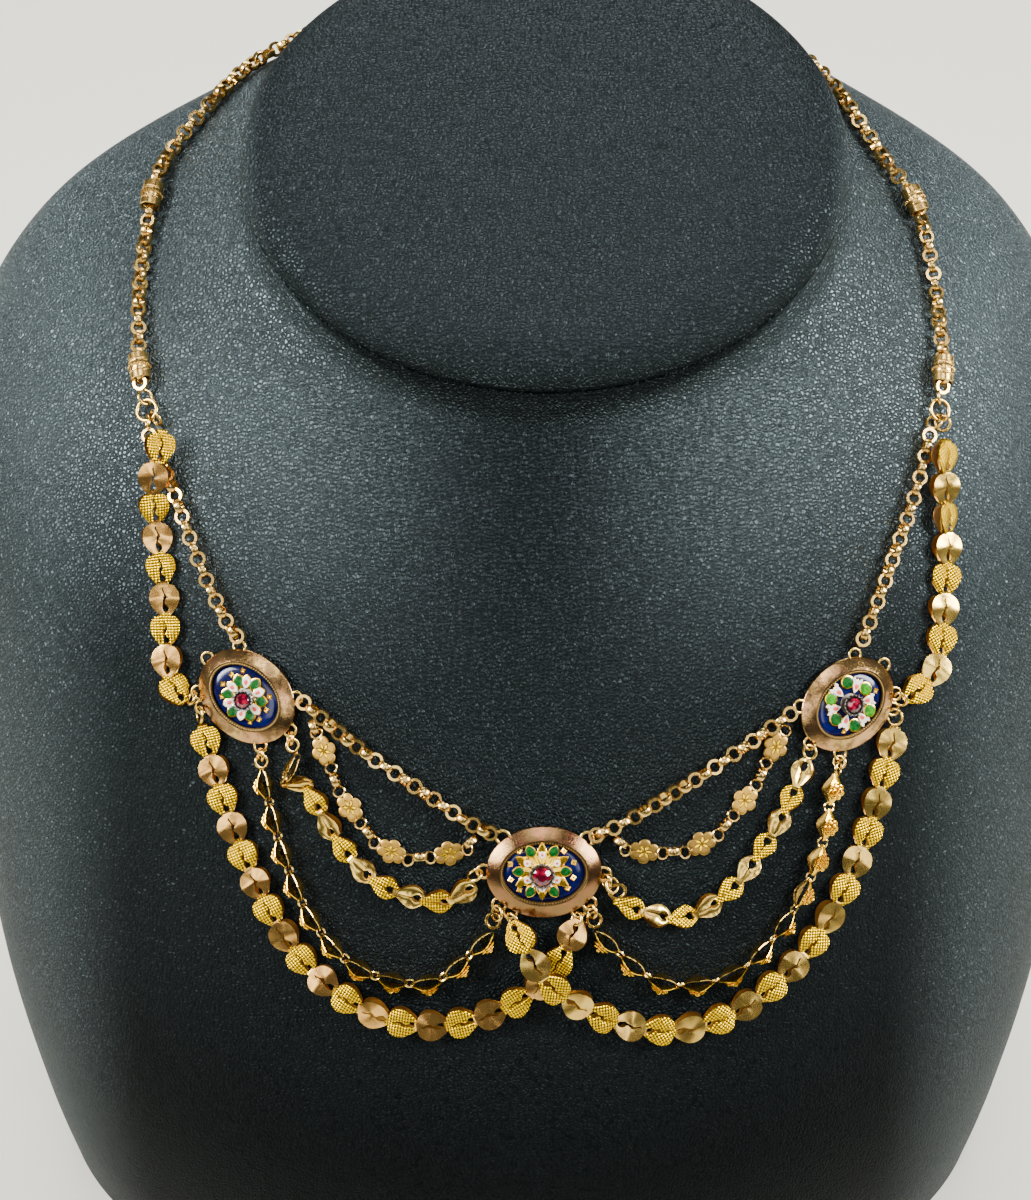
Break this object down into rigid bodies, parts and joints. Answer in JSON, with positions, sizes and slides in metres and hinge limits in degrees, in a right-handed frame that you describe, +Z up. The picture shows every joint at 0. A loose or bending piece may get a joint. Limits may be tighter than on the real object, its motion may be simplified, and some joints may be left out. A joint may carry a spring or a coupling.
{
  "type": "festoon necklace on a neck bust",
  "caption": "Gold festoon necklace of leaf, lozenge and flower links with enamelled oval plaques, shown on a padded black neck bust.",
  "frame": {"origin": "middle of the bust's bounding box on the floor, where its base rests", "axes": "+Z up, -Y towards the viewer (the chest faces -Y), +X to the right of the picture"},
  "size_m": [0.222, 0.1799, 0.2114],
  "materials": {
    "leatherette": "fine pebble grain, half-matt black",
    "rose_gold": "worn and brushed rose gold",
    "yellow_gold": "polished yellow gold, part of it finely engraved",
    "blue_enamel": "deep glossy cobalt enamel",
    "ornament_enamel": "white, green and red enamel in gold cells",
    "silver": "tarnished silver claws",
    "ruby_stone": "faceted crimson stone"
  },
  "bodies": {
    "root": {"bust": "leatherette", "frame_left": "rose_gold", "frame_centre": "rose_gold", "frame_right": "rose_gold", "enamel_left": "blue_enamel", "enamel_centre": "blue_enamel", "enamel_right": "blue_enamel", "ornament_left": "ornament_enamel", "ornament_centre": "ornament_enamel", "ornament_right": "ornament_enamel", "collet_left": "silver", "collet_centre": "silver", "collet_right": "silver", "ruby_left": "ruby_stone", "ruby_centre": "ruby_stone", "ruby_right": "ruby_stone", "neck_chain_left": "yellow_gold", "neck_chain_right": "yellow_gold", "clasp": "yellow_gold", "barrel_left_upper": "yellow_gold", "barrel_left_lower": "yellow_gold", "barrel_right_upper": "yellow_gold", "barrel_right_lower": "yellow_gold", "side_ring_left": "yellow_gold", "side_ring_right": "yellow_gold", "belcher_side_left": "yellow_gold", "belcher_side_right": "yellow_gold", "belcher_front_left": "yellow_gold", "belcher_front_right": "yellow_gold", "leaf_side_left": "yellow_gold", "leaf_side_right": "yellow_gold", "leaf_outer_left": "yellow_gold", "leaf_outer_right": "yellow_gold", "leaf_inner_left": "yellow_gold", "leaf_inner_right": "yellow_gold", "flowers_left": "yellow_gold", "flowers_right": "yellow_gold", "lozenges_left": "yellow_gold", "lozenges_right": "yellow_gold", "rings_left": "yellow_gold", "rings_centre": "yellow_gold", "rings_right": "yellow_gold"}
  },
  "joints": []
}
